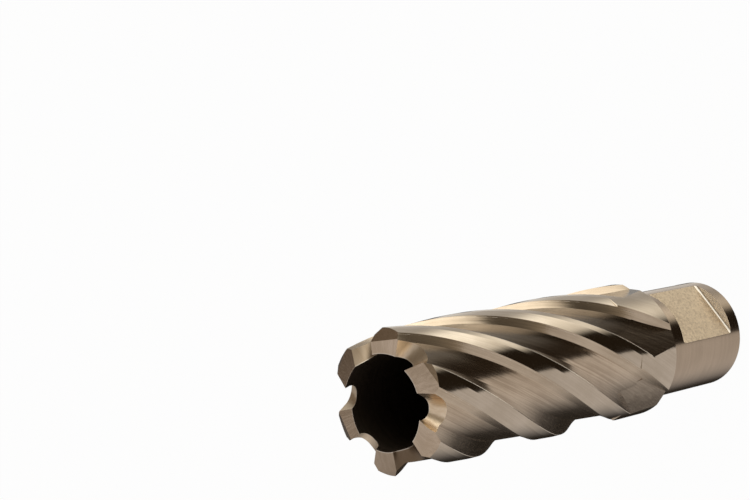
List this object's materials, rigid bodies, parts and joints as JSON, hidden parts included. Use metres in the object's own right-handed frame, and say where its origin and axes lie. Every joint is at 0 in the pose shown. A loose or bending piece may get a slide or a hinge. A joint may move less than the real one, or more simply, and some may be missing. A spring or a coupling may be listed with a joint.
{
  "type": "annular cutter",
  "caption": "Hollow ground cutter with helical flutes, toothed rim and a plain shank with set-screw flats and a pilot hole.",
  "frame": {"origin": "centre of the shank's end face, which the cutter stands on", "axes": "+Z along the axis towards the teeth, +X out of the first set-screw flat, +Y out of the second"},
  "size_m": [0.0234, 0.0234, 0.0862],
  "materials": {
    "tool_steel": "bright ground high-speed steel with a warm tint, matte on the set-screw flat"
  },
  "bodies": {
    "root": {"cutter": "tool_steel"}
  },
  "joints": []
}
